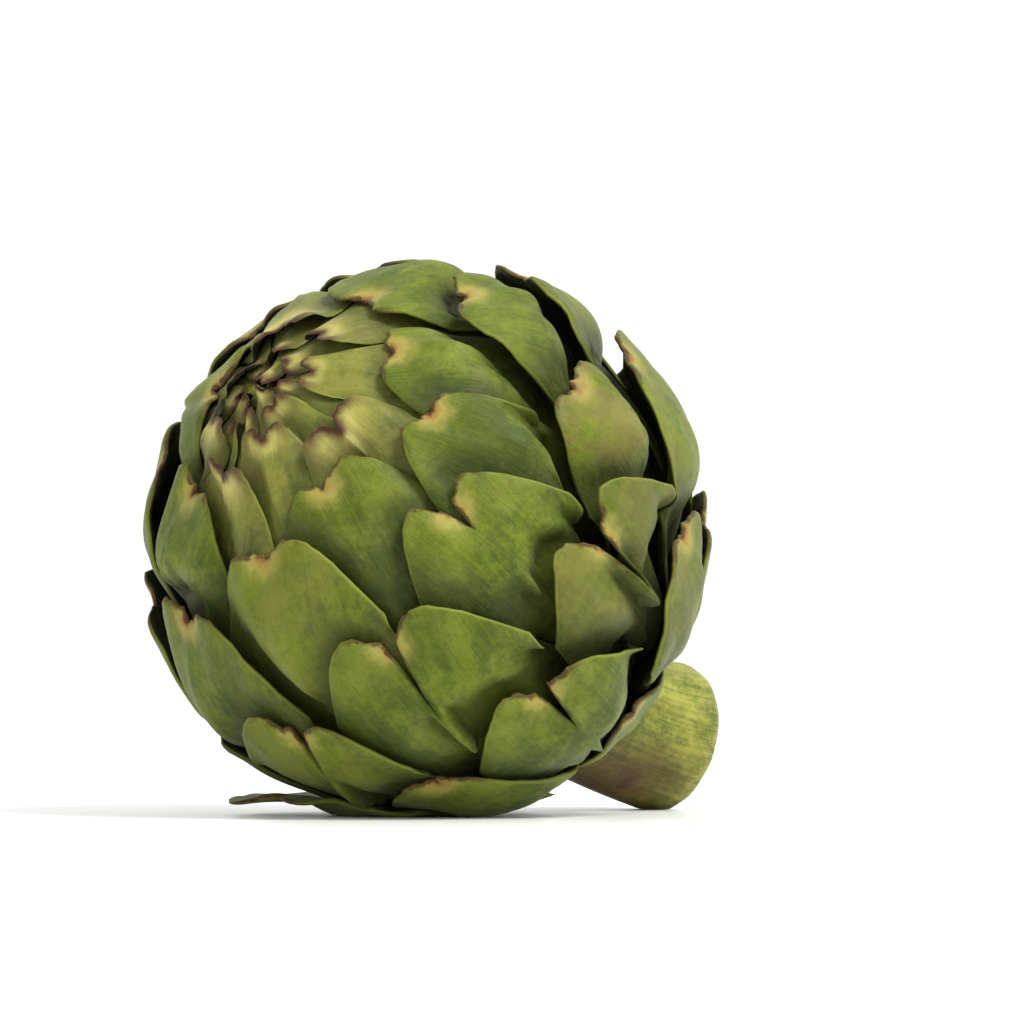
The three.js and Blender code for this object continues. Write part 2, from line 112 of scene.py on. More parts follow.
# Leaves with a shape or place of their own. Down and turned: degrees from the spiral; room:
# millimetres of air under the tip; left and right: how far that lobe stands above the notch, and
# how wide that half of the leaf is, as a share of the usual; spread: how far the lobes are apart;
# slit: its depth; lying: along the ground; blemish: 0 to 1.
OWN_SHAPE = {
    -21: dict(down=-8),
    -20: dict(down=-7),
    -19: dict(down=-6.5),
    -18: dict(down=-5),
    -17: dict(down=-3.5),
    -16: dict(down=-2),
    -2: dict(down=3, turned=-9),
    0: dict(down=2, turned=-8, room=0.4, slit=0.5),
    1: dict(down=3, turned=-4, room=0.5, left=(4, 1.1), right=(3, 0.8), spread=5, slit=0.5),
    3: dict(down=1, room=0.5, left=(3, 0.95), right=(4.5, 1.0), spread=4.8, slit=1.5),
    4: dict(down=-2, turned=-8, room=0.5, slit=1.0),
    5: dict(down=-3, turned=5, room=2.5, slit=1.0),
    6: dict(turned=-2, room=0.5, left=(5, 1.0), right=(2, 0.5), spread=4, slit=0.8),
    8: dict(down=-3, turned=1, room=0.5, left=(3, 0.9), right=(5, 1.1), spread=6, slit=0.8),
    9: dict(turned=1, room=4.5, left=(6, 1.3), right=(2, 0.8), spread=5, slit=0.5),
    10: dict(room=4.5, slit=2.0, blemish=0.2),
    11: dict(down=1, turned=7, room=0.5, left=(8, 0.95), right=(5, 0.86), spread=4, slit=6.5),
    13: dict(down=-1, turned=1, room=3.5, left=(4, 1.0), right=(4, 1.3), spread=4.5, slit=1.0),
    14: dict(down=5, turned=1, room=5.5, left=(6, 1.05), right=(1, 0.9), spread=5, slit=1.0,
             blemish=0.7),
    16: dict(turned=7, room=0.8, left=(8, 1.0), right=(6.5, 1.1), spread=6, slit=19),
    17: dict(down=1, turned=-2, room=5.5, left=(6, 1.4), right=(3, 1.0), spread=5, slit=1.0),
    18: dict(room=4.0, slit=1.5, blemish=0.2),
    19: dict(down=8, turned=4, room=4.5, left=(11, 1.0), right=(9.5, 1.0), spread=5.5, slit=18,
             blemish=0.45),
    21: dict(down=-1, turned=8, room=0.8, left=(8, 1.05), right=(5.5, 0.8), spread=6, slit=15),
    22: dict(down=-1, turned=2, room=5.5, left=(1.5, 1.1), right=(2, 1.0), spread=4, slit=0.5,
             blemish=0.4),
    24: dict(down=7, turned=6, room=3.0, left=(8, 1.0), right=(3.5, 0.95), spread=5, slit=13),
    27: dict(down=6, turned=1, room=5.0, left=(3, 1.1), right=(1, 0.75), spread=4, slit=0.5,
             blemish=0.4),
    29: dict(down=-1, turned=8, room=0.5, left=(3, 1.0), right=(1, 0.6), spread=4, slit=0.5),
    32: dict(down=14, turned=-2, left=(1, 0.8), right=(1, 0.8), slit=0.5),
    34: dict(down=-17, lying=True, slit=0.5),
}

# ---- The heart and the stem ----
HEART_TOP = 128.0  # degrees from the crown
HEART_FOOT = 156.0
HEART_RINGS = 8
STEM_RADIUS = 15.2
STEM_WAIST = 0.06  # share of the radius it is slimmer by halfway along
STEM_START = 50.0  # below the globe's centre along the crown's axis
STEM_BEND = 60.0  # below it too: the corner its route rounds off
STEM_END = np.array([68.0, -3.4, -39.4])  # centre of the cut from the globe's centre, row axes
STEM_RINGS = 48
STEM_SIDES = 144
RIM_INSET = 0.14  # of the rounded rim of the cut, as a share of the radius
RIM_ROUNDING = 2.4
DISH_SHARES = [0.74, 0.55, 0.3, 0.12]  # the dish of the cut: radii as shares of the stem's,
DISH_HEIGHTS = np.array([0.8, 0.6, 0.5, 0.5])  # and heights as shares of the rounding
RIM_PALENESS = 0.3

# ---- Camera: level with the globe, a long lens from in front of the crown and to one side ----
CAMERA_TURN = 221.3 * DEG  # of the line from the globe to the camera, from +X toward +Y
CAMERA_RISE = 0.3 * DEG
CAMERA_DISTANCE = 3.0
LENS_MM = 536.8
SENSOR_MM = 36.0
GLOBE_LEFT_OF_CENTRE = 0.0171
GLOBE_BELOW_CENTRE = 0.0057

# ---- Light and floor ----
KEY_PLACE = (0.5, 0.5, 0.85)  # metres from the globe toward the camera, right and up
KEY_SIZE = 0.4
KEY_WATTS = 13.0
SURROUND_STRENGTH = 1.02
FLOOR_RADIUS = 4


# ================= Shared geometry =================

def smoothstep(x, low, high):
    """0 below low, 1 above high, and between them 3t squared less 2t cubed."""
    t = np.clip((x - low) / (high - low), 0.0, 1.0)
    return t * t * (3 - 2 * t)


def head_to_row(points):
    """Turns head-frame points about Y, so the crown's axis pitches up toward -X, in mm."""
    tilt = CROWN_PITCH - math.pi / 2
    x = points[..., 0] * math.cos(tilt) + points[..., 2] * math.sin(tilt)
    z = points[..., 2] * math.cos(tilt) - points[..., 0] * math.sin(tilt)
    return np.stack([x, points[..., 1], z], axis=-1)


def row_to_head(points):
    """The turn of head_to_row undone."""
    tilt = math.pi / 2 - CROWN_PITCH
    x = points[..., 0] * math.cos(tilt) + points[..., 2] * math.sin(tilt)
    z = points[..., 2] * math.cos(tilt) - points[..., 0] * math.sin(tilt)
    return np.stack([x, points[..., 1], z], axis=-1)


def globe_radius(direction):
    """The globe's outer shape: a ball, less a part that grows with the cube of the height
    toward the crown and the fourth power toward the base, cut flat where it rests."""
    crown = np.clip(direction[..., 2], 0, None) ** 3
    base = np.clip(-direction[..., 2], 0, None) ** 4
    radius = GLOBE_RADIUS * (1 - CROWN_FLATTENING * crown - BASE_FLATTENING * base)
    drop = np.clip(-head_to_row(direction)[..., 2], 1e-6, None)
    return np.minimum(radius, GLOBE_CENTRE[2] / drop)


# ================= The shape of one leaf =================

def leaf_plan(number, chance):
    """The sizes of one leaf. Number 1 is the first large leaf, and 0, -1, -2 and so on are the
    small ones of the crown, each tip a fixed part nearer the crown than the last."""
    small = number < 1
    first = INNER_POLAR + POLAR_STEP
    if small:
        polar = first * math.exp(CROWN_CLOSING * (number - 1))
    else:
        polar = first + POLAR_STEP * (number - 1)
    size = max(polar / first, SMALLEST_SIZE) if small else 1.0
    values = dict(
        down=0,
        turned=0,
        room=0.0 if small else SNUG,
        left=(chance.uniform(3, 6), chance.uniform(0.9, 1.15)),
        right=(chance.uniform(3, 6), chance.uniform(0.9, 1.15)),
        spread=chance.uniform(4.5, 6),
        slit=chance.uniform(0.5, 4),
        blemish=chance.uniform(0, 0.35),
        lying=False,
    )
    tone = chance.uniform(0, 1)
    phases = chance.uniform(0, 2 * math.pi, 4)
    values.update(OWN_SHAPE.get(number, {}))
    order = (number + SMALL_LEAVES - 1) / (SMALL_LEAVES + LARGE_LEAVES - 1)
    growth = order ** LEAF_END_POWER
    tip = polar + values["down"] * DEG
    end = INNERMOST_LEAF_END + (OUTERMOST_LEAF_END - INNERMOST_LEAF_END) * growth
    return SimpleNamespace(
        number=number,
        name=f"leaf_{number + SMALL_LEAVES:02d}",
        small=small,
        size=size,
        tip_polar=tip,
        lean=CROWN_LEAN * float(smoothstep(-number, 0, LEANING_LEAVES)),
        turn=FIRST_TURN + GOLDEN_ANGLE * number + values["turned"] * DEG,
        length=(end - tip) * GLOBE_RADIUS,
        room=values["room"],
        thickness=SMALL_LEAF_THICKNESS if small else LEAF_THICKNESS,
        full_width=INNER_HALF_WIDTH + SMALL_LEAF_WIDENING * size if small else LEAF_HALF_WIDTH,
        shoulder=SHOULDER_HALF_WIDTH * size * (SLIMMEST_SHOULDER * (1 - size) + size),
        drop=SHOULDER_DROP * size,
        rises=(values["left"][0] * size, values["right"][0] * size),
        widths=(values["left"][1], values["right"][1]),
        spread=values["spread"] * size,
        slit=values["slit"] * size,
        blemish=values["blemish"],
        lying=values["lying"],
        tone=tone,
        phases=phases,
    )


def by_side(pair, across):
    """The left or the right value, by the sign of the place across the leaf."""
    return np.where(np.asarray(across) < 0, pair[0], pair[1])


def tip_edge(leaf, across):
    """How far down from the notch the leaf's far edge is, at -1..1 across it: shoulders that
    fall with a power of the distance out, less two lobes that rise like one minus a bell curve,
    plus a narrow wedge for the slit, frayed by a few waves that are strongest at the notch."""
    out = across * leaf.shoulder * by_side(leaf.widths, across)
    shoulders = leaf.drop * np.abs(across) ** SHOULDER_SQUARENESS
    lobes = by_side(leaf.rises, across) * (1 - np.exp(-((out / leaf.spread) ** 2)))
    wedge = np.clip(1 - np.abs(out) / SLIT_HALF_WIDTH, 0, None) ** SLIT_SHARPNESS
    a, b, c, d = leaf.phases
    frayed = 0.3 * np.sin(out * 1.1 + a) + 0.22 * np.sin(out * 2.3 + b)
    frayed = frayed + 0.16 * np.sin(out * 4.7 + c) + 0.08 * np.sin(out * 9.1 + d)
    frayed = frayed * leaf.size ** 0.5 * (0.35 + np.exp(-((out / FRAY_REACH) ** 2)))
    frayed = frayed * (1 - np.abs(across) ** 8)
    return shoulders - lobes + leaf.slit * wedge + frayed


def half_width(leaf, down, across):
    """Half the leaf's width: the shoulders', widening to the full width, narrowing to the base."""
    widened = smoothstep(down - leaf.drop, WIDENING_START, WIDENING_LENGTH)
    tapered = smoothstep(down, leaf.length - BASE_TAPER_LENGTH, leaf.length)
    full = leaf.shoulder + (leaf.full_width - leaf.shoulder) * widened
    full = full * by_side(leaf.widths, across)
    return full + (np.minimum(full, BASE_HALF_WIDTH) - full) * tapered


def side_down(leaf, along, across):
    """How far down the leaf's own side edge is at a share of the way from tip to base."""
    shoulder = tip_edge(leaf, np.where(np.asarray(across) < 0, -1.0, 1.0))
    return shoulder * (1 - along) + leaf.length * along


def leaf_point(leaf, along, across):
    """Grid place (0..1 from tip to base, -1..1 across) to millimetres down and sideways: each
    line of equal across runs straight from the far edge to the base."""
    down = tip_edge(leaf, across) * (1 - along) + leaf.length * along
    return down, across * half_width(leaf, side_down(leaf, along, across), across)


def leaned(direction, angle):
    """Turns directions about X, so that the crown's axis leans toward +Y."""
    y = direction[..., 1] * math.cos(angle) + direction[..., 2] * math.sin(angle)
    z = direction[..., 2] * math.cos(angle) - direction[..., 1] * math.sin(angle)
    return np.stack([direction[..., 0], y, z], axis=-1)


def leaf_direction(leaf, down, sideways):
    """Millimetres down and sideways to a unit direction from the globe's centre: down the
    leaf's own meridian, then square off it along a great circle."""
    polar = leaf.tip_polar + down / GLOBE_RADIUS
    slant = sideways / GLOBE_RADIUS
    level = np.sin(polar) * np.cos(slant)
    x = level * math.cos(leaf.turn) - np.sin(slant) * math.sin(leaf.turn)
    y = level * math.sin(leaf.turn) + np.sin(slant) * math.cos(leaf.turn)
    return leaned(np.stack([x, y, np.cos(polar) * np.cos(slant)], axis=-1), leaf.lean)


def place_on_leaf(leaf, direction):
    """The inverse of leaf_direction and leaf_point, settled by six repeats: a guess of along
    gives the width there, which gives across, which gives the edge and a better along."""
    direction = leaned(direction, -leaf.lean)
    square = direction[..., 1] * math.cos(leaf.turn) - direction[..., 0] * math.sin(leaf.turn)
    outward = direction[..., 0] * math.cos(leaf.turn) + direction[..., 1] * math.sin(leaf.turn)
    sideways = np.arcsin(np.clip(square, -1, 1)) * GLOBE_RADIUS
    down = (np.arctan2(outward, direction[..., 2]) - leaf.tip_polar) * GLOBE_RADIUS
    along = down / leaf.length
    for _ in range(6):
        inside = np.clip(along, 0, 1)
        across = sideways / half_width(leaf, side_down(leaf, inside, sideways), sideways)
        tip = tip_edge(leaf, np.clip(across, -1, 1))
        along = (down - tip) / (leaf.length - tip)
    return along, across


def leaf_outside(leaf, direction):
    """How far out the leaf's outer face may be: the globe's outer shape, or, for a leaf that
    lies along the ground, just above the ground."""
    if not leaf.lying:
        return globe_radius(direction)
    drop = np.clip(-head_to_row(direction)[..., 2], 1e-6, None)
    ground = np.minimum((GLOBE_CENTRE[2] - LYING_HEIGHT) / drop, LYING_REACH)
    return np.maximum(globe_radius(direction), ground)


# ================= Laying the leaves =================
# The ceiling is a grid of directions that says how far out the next leaf inward may reach.

POLAR_CELLS = 165
TURN_CELLS = 360


def grid_directions():
    """Unit directions at each whole degree of polar angle and of turn."""
    polar = np.arange(POLAR_CELLS + 1)[:, None] * DEG
    turn = np.arange(TURN_CELLS)[None, :] * DEG
    x = np.sin(polar) * np.cos(turn)
    y = np.sin(polar) * np.sin(turn)
    return np.stack([x, y, np.cos(polar) + 0 * turn], axis=-1)


def read_ceiling(ceiling, direction):
    """The lowest of the four grid values round each direction."""
    polar = np.arccos(np.clip(direction[..., 2], -1, 1)) / DEG
    turn = np.arctan2(direction[..., 1], direction[..., 0]) / DEG % TURN_CELLS
    row = np.minimum(polar.astype(int), POLAR_CELLS - 1)
    column = turn.astype(int) % TURN_CELLS
    beside = (column + 1) % TURN_CELLS
    near = np.minimum(ceiling[row, column], ceiling[row, beside])
    return np.minimum(near, np.minimum(ceiling[row + 1, column], ceiling[row + 1, beside]))


def spread_out(field):
    """Each value becomes the mean of its four neighbours; the edges repeat their own."""
    padded = np.pad(field, 1, mode="edge")
    rows = padded[:-2, 1:-1] + padded[2:, 1:-1]
    columns = padded[1:-1, :-2] + padded[1:-1, 2:]
    return (rows + columns) / 4


def sample(field, along, across):
    """A leaf grid's value between its lines, straight from line to line both ways."""
    rows, columns = field.shape[0] - 1, field.shape[1] - 1
    i = np.clip(along, 0, 1) * rows
    j = (np.clip(across, -1, 1) + 1) / 2 * columns
    row = np.minimum(i.astype(int), rows - 1)
    column = np.minimum(j.astype(int), columns - 1)
    a, b = i - row, j - column
    near = field[row, column] * (1 - b) + field[row, column + 1] * b
    far = field[row + 1, column] * (1 - b) + field[row + 1, column + 1] * b
    return near * (1 - a) + far * a


def lay_leaf(leaf, ceiling):
    """How deep under the globe's outer shape the leaf lies, on its own grid of about 1 mm:
    as deep as the leaves over it ask, with each hollow spread smoothly and never rising. Also
    how open to the air each place is, 0 under another leaf to 1 a few millimetres away."""
    rows = max(FEWEST_LAYING_STEPS, round(leaf.length / LAYING_STEP))
    along = np.linspace(0, 1, rows + 1)[:, None]
    across = np.linspace(-1, 1, LAYING_LINES)[None, :]
    down, sideways = leaf_point(leaf, along, across)
    direction = leaf_direction(leaf, down, sideways)
    gap = SMALL_LEAF_GAP if leaf.small else LEAF_GAP
    above = read_ceiling(ceiling, direction)
    asked = leaf_outside(leaf, direction) - (above - gap)
    depth = np.clip(asked, 0, None)
    for _ in range(SMOOTHING_PASSES):
        depth = np.maximum(depth, spread_out(depth))
    for _ in range(SETTLING_PASSES):
        depth = spread_out(depth)
    # This openness also sets the painted shade of the skin, besides fading the relief
    covered = (above < GLOBE_RADIUS * 1.5).astype(float)
    for _ in range(2):
        covered = np.maximum(covered, spread_out(covered) * 4).clip(0, 1)
    for _ in range(SHADE_PASSES):
        covered = spread_out(covered)
    return np.maximum(depth, asked), 1 - np.clip(covered * 1.5, 0, 1)


def lower_ceiling(ceiling, grid, leaf, depth):
    """Brings the ceiling down to the leaf's underside, and further under a leaf that stands
    away, most at its tip."""
    along, across = place_on_leaf(leaf, grid)
    on_leaf = (along > -EDGE_MARGIN / leaf.length) & (along < 1 + EDGE_MARGIN / leaf.length)
    on_leaf &= np.abs(across) < 1 + EDGE_MARGIN / BASE_HALF_WIDTH
    fade = FADE_LENGTH + FADE_PER_ROOM * leaf.room
    room = leaf.room * (1 - smoothstep(along * leaf.length, FADE_START * fade, fade))
    outer = leaf_outside(leaf, grid) - sample(depth, along, across)
    underside = outer - leaf_thickness(leaf, along * leaf.length) - room
    return np.where(on_leaf, np.minimum(ceiling, underside), ceiling)


def leaf_thickness(leaf, down):
    """Thin at the tip and a third thicker toward the base."""
    return leaf.thickness * (1 + BASE_THICKENING * smoothstep(down, 10, 60))


# ================= The fine surface of a leaf =================

def leaf_lines(leaf):
    """Where the grid lines of the finished leaf run: close together along the far edge and the
    sides, so the rim is round, and down the middle, for the notch and the slit."""
    rim = np.array([0.0, 0.12, 0.35, 0.7, 1.2, 1.9])
    visible = np.arange(2.8, 42.0, 0.8 if leaf.small else 0.95)
    hidden = np.arange(43.5, leaf.length - 1.5, 3.5)
    along = np.concatenate([rim, visible, hidden, [leaf.length]]) / leaf.length
    inner = np.linspace(0, 1, 21)[:-1] ** 1.35 * 0.9
    side = 1 - rim[::-1] / leaf.full_width
    half = np.concatenate([inner, side[side > 0.905]])
    return along, np.concatenate([-half[:0:-1], half])


def rim_distance(leaf, down, sideways):
    """Distance in millimetres to the nearest point of the leaf's outline, drawn as dots about a
    quarter of a millimetre apart."""
    across = np.linspace(-1, 1, 260)
    far = np.stack(leaf_point(leaf, np.zeros_like(across), across), axis=-1)
    along = np.linspace(0, 1, int(leaf.length * 2))
    sides = [np.stack(leaf_point(leaf, along, np.full_like(along, s)), -1) for s in (-1.0, 1.0)]
    outline = np.concatenate([far, *sides])
    points = np.stack([down, sideways], axis=-1).reshape(-1, 1, 2)
    nearest = np.sqrt(((points - outline[None]) ** 2).sum(-1).min(1))
    return nearest.reshape(down.shape)


def leaf_relief(leaf, down, sideways, rim, air):
    """What lifts the skin off the plain globe: a rounded belly, a soft midrib, a pinch below
    the notch, lobes that curl out and one that laps over its slit, lengthwise folds and an
    uneven rim. The small leaves of the crown curl most. It fades where leaves cover."""
    phase = leaf.phases
    width = half_width(leaf, down, sideways)
    belly = 1.1 * leaf.size * (1 - (sideways / width) ** 2) * smoothstep(down, 2, 22)
    midrib = 0.3 * np.exp(-((sideways / 1.8) ** 2)) * np.exp(-((down - 12) / 16) ** 2)
    pinch = -0.8 * np.exp(-((sideways / 2.5) ** 2)) * np.exp(-np.abs(down) / 6.0)
    curl = 0.8 * np.exp(-np.clip(down, 0, None) / 5.0) * smoothstep(np.abs(sideways), 2, 7)
    folds = 0.16 * np.sin(sideways * 0.75 + phase[0] + 0.5 * np.sin(down * 0.12 + phase[2]))
    wave = 0.3 * np.sin(sideways * 0.5 + phase[1]) * np.sin(down * 0.35 + phase[3])
    wave = wave * np.exp(-rim / 3.0)
    lapped = 0.5 * np.tanh(sideways / 0.8) * np.exp(-np.abs(sideways) / 5)
    lapped = lapped * smoothstep(leaf.slit * 1.1 - down, 0, 4) * (leaf.slit > 4)
    relief = belly + midrib + (pinch + curl + wave + folds) * leaf.size + lapped
    if leaf.small:
        relief = relief + (1.0 + 1.6 * leaf.size) * np.exp(-np.clip(down, 0, None) / 4.5)
    return relief * air


def closed_leaf(top, bottom):
    """Vertices and quads of a closed leaf from an outer and an inner grid that share their
    outline: the inner grid only adds its inside points."""
    rows, columns = top.shape[:2]
    upper = np.arange(rows * columns).reshape(rows, columns)
    lower = upper.copy()
    inside = (rows - 2) * (columns - 2)
    lower[1:-1, 1:-1] = rows * columns + np.arange(inside).reshape(rows - 2, columns - 2)
    points = np.concatenate([top.reshape(-1, 3), bottom[1:-1, 1:-1].reshape(-1, 3)])

    def quads(index):
        corners = [index[:-1, :-1], index[1:, :-1], index[1:, 1:], index[:-1, 1:]]
        return np.stack(corners, axis=-1).reshape(-1, 4)

    return points, np.concatenate([quads(upper), quads(lower)[:, ::-1]]).tolist()


def new_piece(name, points, faces, material, stands_for):
    """A mesh object in the row frame, in metres, that rides on the one body of the frame."""
    row_points = (head_to_row(points) + GLOBE_CENTRE) * METRES
    row_points[:, 2] = np.maximum(row_points[:, 2], CLEAR_OF_GROUND)
    mesh = bpy.data.meshes.new(name)
    mesh.from_pydata(row_points.tolist(), [], faces)
    mesh.polygons.foreach_set("use_smooth", np.ones(len(mesh.polygons), bool))
    mesh.materials.append(material)
    mesh.update()
    piece = bpy.data.objects.new(name, mesh)
    bpy.context.scene.collection.objects.link(piece)
    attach(piece, "root")
    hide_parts(stands_for)
    return piece


def paint(piece, name, values):
    """Stores one number, or one vector, for each vertex, for the materials to read."""
    kind = "FLOAT" if values.ndim == 1 else "FLOAT_VECTOR"
    key = "value" if values.ndim == 1 else "vector"
    layer = piece.data.attributes.new(name, kind, "POINT")
    layer.data.foreach_set(key, values.astype(np.float32).ravel())


def make_leaf(leaf, depth_grid, air_grid, material):
    """The finished leaf: outer and inner skins on either side of its middle surface, whose
    distance apart falls to nothing at the rim like a half ellipse."""
    along, across = leaf_lines(leaf)
    along, across = along[:, None], across[None, :]
    down, sideways = leaf_point(leaf, along, across)
    direction = leaf_direction(leaf, down, sideways)
    depth = sample(depth_grid, along + 0 * across, across + 0 * along)
    air = sample(air_grid, along + 0 * across, across + 0 * along)
    rim = rim_distance(leaf, down, sideways)
    outer = leaf_outside(leaf, direction) - depth
    outer = outer + leaf_relief(leaf, down, sideways, rim, air)
    full = leaf_thickness(leaf, down)
    edge = 1 - np.clip(rim / EDGE_ROUNDING, 0, 1)
    thick = full * np.sqrt(1 - edge * edge)
    thick[0], thick[-1], thick[:, 0], thick[:, -1] = 0, 0, 0, 0
    middle = outer - full / 2
    top = direction * (middle + thick / 2)[..., None]
    bottom = direction * (middle - thick / 2)[..., None]
    points, faces = closed_leaf(top, bottom)
    piece = new_piece(f"{leaf.name}_skin", points, faces, material, leaf.name)

    def both(values):
        return np.concatenate([values.ravel(), values[1:-1, 1:-1].ravel()])

    # Painted shade on the inner side of each leaf, little on the leaf lying along the ground,
    # whose inner side faces up
    inner_painted_shade = np.full(bottom[1:-1, 1:-1, 0].size, 0.1 if leaf.lying else 1.0)
    under = np.concatenate([np.zeros(top[..., 0].size), inner_painted_shade])
    place = np.stack([both(sideways), both(down), np.full(len(points), leaf.number * 7.0)], 1)
    paint(piece, "leaf_place", place)
    paint(piece, "rim", both(rim))
    paint(piece, "notch", both(np.hypot(sideways, down - 0.6)) / max(leaf.size, 0.5))
    paint(piece, "under", under)
    # Where the skin is darkened as painted shade: under other leaves and close beside them
    paint(piece, "covered", 1 - both(air))
    paint(piece, "tone", np.full(len(points), leaf.tone))
    paint(piece, "blemish", np.full(len(points), leaf.blemish))
    return piece


# ================= The stem and the heart =================

def make_stem(ceiling, material):
    """Rings along the crown's axis and then a bent route, each a circle with a few soft ribs;
    inside the leaves each ring is as wide as they leave room for. The last rings turn in over
    the rounded rim of the cut, like a quarter ellipse, and close on its sunken centre."""
    polar = np.linspace(HEART_TOP, HEART_FOOT, HEART_RINGS)
    room = np.array([ceiling[int(p) - 3:int(p) + 4].min() for p in polar]) - LEAF_GAP
    heart = np.outer(room * np.cos(polar * DEG), [0, 0, 1])

    t = np.linspace(0, 1, STEM_RINGS)[:, None]
    start = np.array([0, 0, -STEM_START])
    bend = np.array([0, 0, -STEM_BEND])
    end = row_to_head(STEM_END)
    route = (1 - t) ** 2 * start + 2 * t * (1 - t) * bend + t * t * end
    heading = (1 - t) * (bend - start) + t * (end - bend)
    heading /= np.linalg.norm(heading, axis=1, keepdims=True)
    waisted = STEM_RADIUS * (1 - STEM_WAIST * np.sin(math.pi * t[:, 0]))

    round_over = np.arange(1, 7) * 15 * DEG
    share = np.append(1 - RIM_INSET * (1 - np.cos(round_over)), DISH_SHARES)
    proud = np.append(RIM_ROUNDING * np.sin(round_over), RIM_ROUNDING * DISH_HEIGHTS)
    cut = end + proud[:, None] * heading[-1]

    centres = np.concatenate([heart, route, cut])
    down_axis = np.tile([0, 0, -1.0], (HEART_RINGS, 1))
    facing_out = np.tile(heading[-1], (len(share), 1))
    alongs = np.concatenate([down_axis, heading, facing_out])
    radii = np.concatenate([room * np.sin(polar * DEG), waisted, waisted[-1] * share])
    ribbed = np.concatenate([np.zeros(HEART_RINGS), np.ones(STEM_RINGS), share])
    angle = np.linspace(0, 2 * math.pi, STEM_SIDES, endpoint=False)
    up = np.cross(np.array([0.0, 1.0, 0.0]), alongs)
    up /= np.linalg.norm(up, axis=1, keepdims=True)
    side = np.cross(alongs, up)
    ribs = 0.007 * np.cos(11 * angle + 0.6) + 0.012 * np.cos(3 * angle + 2.0)
    swell = radii[:, None] * (1 + ribs[None, :] * ribbed[:, None])
    circle = np.cos(angle)[:, None] * side[:, None, :] + np.sin(angle)[:, None] * up[:, None, :]
    rings = centres[:, None, :] + swell[..., None] * circle

    index = np.arange(rings[..., 0].size).reshape(rings.shape[:2])
    beside = np.roll(index, -1, axis=1)
    walls = np.stack([index[:-1], index[1:], beside[1:], beside[:-1]], axis=-1).reshape(-1, 4)
    first = np.stack([np.full_like(index[0], index.size), index[0], beside[0]], axis=-1)
    last = np.stack([np.full_like(index[0], index.size + 1), beside[-1], index[-1]], axis=-1)
    ends = np.stack([rings[0].mean(0), rings[-1].mean(0)])
    points = np.concatenate([rings.reshape(-1, 3), ends])
    faces = walls.tolist() + first.tolist() + last.tolist()
    piece = new_piece("stem_skin", points, faces, material, "stem_and_heart")

    steps = np.linalg.norm(np.diff(centres, axis=0), axis=1)
    inward = np.abs(np.diff(radii))
    travelled = np.concatenate([[0], np.maximum(steps, inward).cumsum()])
    around = np.broadcast_to(angle * STEM_RADIUS, index.shape)
    along = np.broadcast_to(travelled[:, None], index.shape)
    place = np.stack([around.ravel(), along.ravel(), 0 * along.ravel()], axis=-1)
    place = np.concatenate([place, [[0, travelled[0], 0], [0, travelled[-1], 0]]])
    toward_rim = RIM_PALENESS * smoothstep(t[:, 0], 0.88, 1.0)
    onto_cut = RIM_PALENESS + (1 - RIM_PALENESS) * np.clip((1 - share) / RIM_INSET, 0, 1)
    pale = np.concatenate([np.zeros(HEART_RINGS), toward_rim, onto_cut])
    paint(piece, "stem_place", place)
    paint(piece, "cut", np.append(np.repeat(pale, STEM_SIDES), [0, 1]))
    return piece


# ================= Materials =================

class Tree:
    """A few short ways to add nodes to a node tree."""

    def __init__(self, tree):
        self.tree = tree

    def node(self, kind, **settings):
        made = self.tree.nodes.new(kind)
        for key, value in settings.items():
            setattr(made, key, value)
        return made

    def feed(self, socket, value):
        if isinstance(value, bpy.types.NodeSocket):
            self.tree.links.new(value, socket)
        else:
            socket.default_value = value

    def math(self, operation, a, b=0.0, clamp=False):
        made = self.node("ShaderNodeMath", operation=operation, use_clamp=clamp)
        self.feed(made.inputs[0], a)
        self.feed(made.inputs[1], b)
        return made.outputs[0]

    def step(self, value, low, high):
        """0 at low, 1 at high, smooth between; low may be the larger."""
        made = self.node("ShaderNodeMapRange", interpolation_type="SMOOTHSTEP")
        self.feed(made.inputs["Value"], value)
        self.feed(made.inputs["From Min"], low)
        self.feed(made.inputs["From Max"], high)
        return made.outputs["Result"]

    def mix(self, share, a, b, blend="MIX"):
        made = self.node("ShaderNodeMix", data_type="RGBA", blend_type=blend)
        self.feed(made.inputs["Factor"], share)
        self.feed(made.inputs[6], a)
        self.feed(made.inputs[7], b)
        return made.outputs[2]

    def weighted(self, *parts):
        """The sum of values, each times its weight."""
        total = None
        for value, weight in parts:
            part = self.math("MULTIPLY", value, weight)
            total = part if total is None else self.math("ADD", total, part)
        return total

    def noise(self, vector, scale, detail=3.0, roughness=0.55):
        made = self.node("ShaderNodeTexNoise")
        self.feed(made.inputs["Vector"], vector)
        self.feed(made.inputs["Scale"], scale)
        self.feed(made.inputs["Detail"], detail)
        self.feed(made.inputs["Roughness"], roughness)
        return made.outputs["Fac"]

    def attribute(self, name, output="Fac"):
        return self.node("ShaderNodeAttribute", attribute_name=name).outputs[output]

    def stretched(self, vector, scale):
        made = self.node("ShaderNodeMapping")
        self.feed(made.inputs["Vector"], vector)
        made.inputs["Scale"].default_value = scale
        return made.outputs["Vector"]


